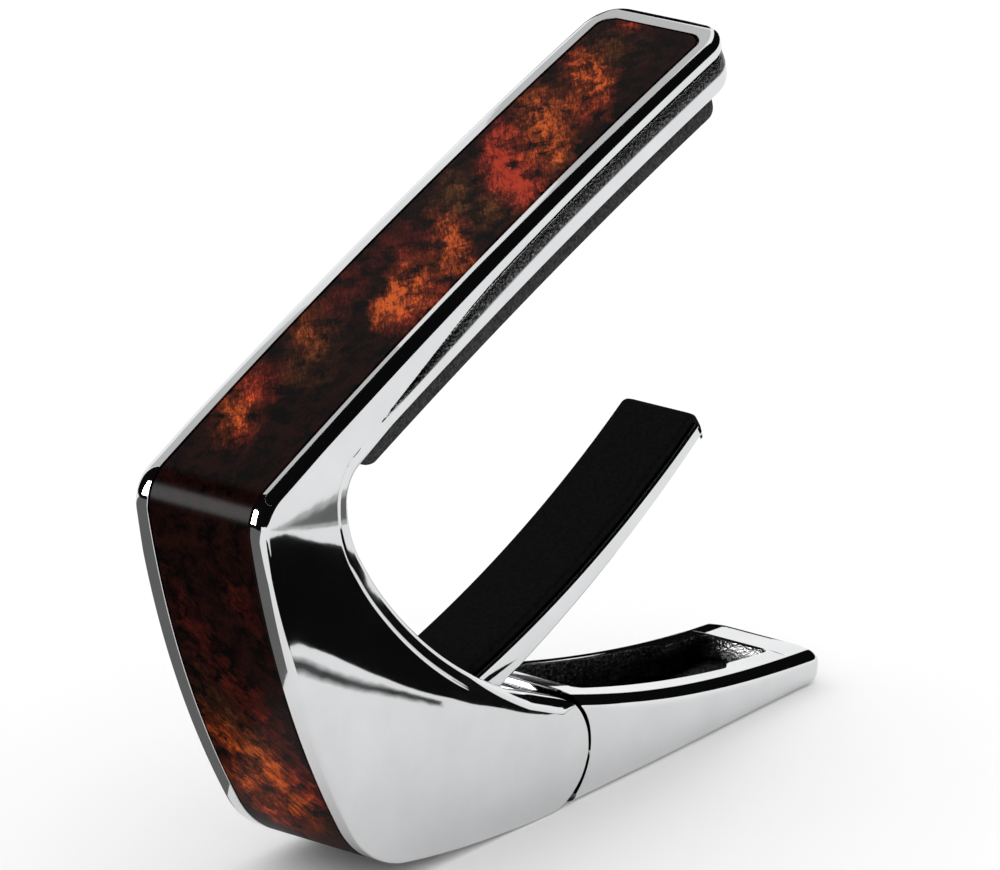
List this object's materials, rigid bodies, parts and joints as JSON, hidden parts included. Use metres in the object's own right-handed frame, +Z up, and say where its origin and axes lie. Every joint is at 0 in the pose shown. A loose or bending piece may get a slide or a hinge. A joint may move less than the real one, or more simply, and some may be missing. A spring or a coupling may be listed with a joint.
{
  "type": "guitar capo",
  "caption": "Chromed spring capo for a guitar neck: an inlaid body arches over the strings, with a rubber fret pad, a padded swing arm and a hollow squeeze lever that opens the jaw.",
  "frame": {"origin": "under the middle of the capo's outer box, on the plane that the base stands on", "axes": "+Z up, +X from the spine along the base to the lever's tip, Y along the pivots and across the width"},
  "size_m": [0.081, 0.0144, 0.0661],
  "materials": {
    "chrome": "polished chrome plate over a die casting",
    "steel": "satin ground steel",
    "inlay_wood": "figured dark red-brown wood under clear gloss lacquer",
    "adhesive": "thin adhesive film",
    "rubber": "matte black rubber",
    "fret_rubber": "fine-textured dark grey rubber",
    "plastic": "moulded black plastic",
    "nylon": "natural nylon"
  },
  "bodies": {
    "frame": {"body_frame": "chrome", "inlay_strip": "inlay_wood", "inlay_adhesive": "adhesive", "lever_pin": "steel", "arm_pin": "steel", "lever_pin_screw": "steel", "arm_pin_screw": "steel", "lever_washer_near": "nylon", "lever_washer_far": "nylon", "arm_washer_near": "nylon", "arm_washer_far": "nylon", "spring_sleeve": "nylon", "return_spring": "steel"},
    "lever": {"squeeze_lever": "chrome", "drive_pin": "steel"},
    "swing": {"swing_arm": "chrome", "neck_pad": "rubber", "neck_pad_adhesive": "adhesive"},
    "fret": {"fret_pad_carrier": "plastic", "fret_pad": "fret_rubber"}
  },
  "joints": [
    {"name": "lever_squeeze", "type": "hinge", "parent": "frame", "child": "lever", "pos_m": [-0.00147, 0, 0.0053], "axis": [0, -1, 0], "range_deg": [-15, 6]},
    {"name": "arm_swing", "type": "hinge", "parent": "frame", "child": "swing", "pos_m": [-0.01317, 0, 0.0082], "axis": [0, -1, 0], "range_deg": [-7.68, 19.2], "stiffness_Nm_per_rad": 2.5, "deforming": ["return_spring"]},
    {"name": "fret_pad_slide", "type": "hinge", "parent": "frame", "child": "fret", "pos_m": [0.21486, 0, -0.47938], "axis": [0, 1, 0], "range_deg": [0, 5.8]}
  ],
  "couplings": [
    {"joint": "arm_swing", "follows": "lever_squeeze", "ratio": -1.28}
  ]
}
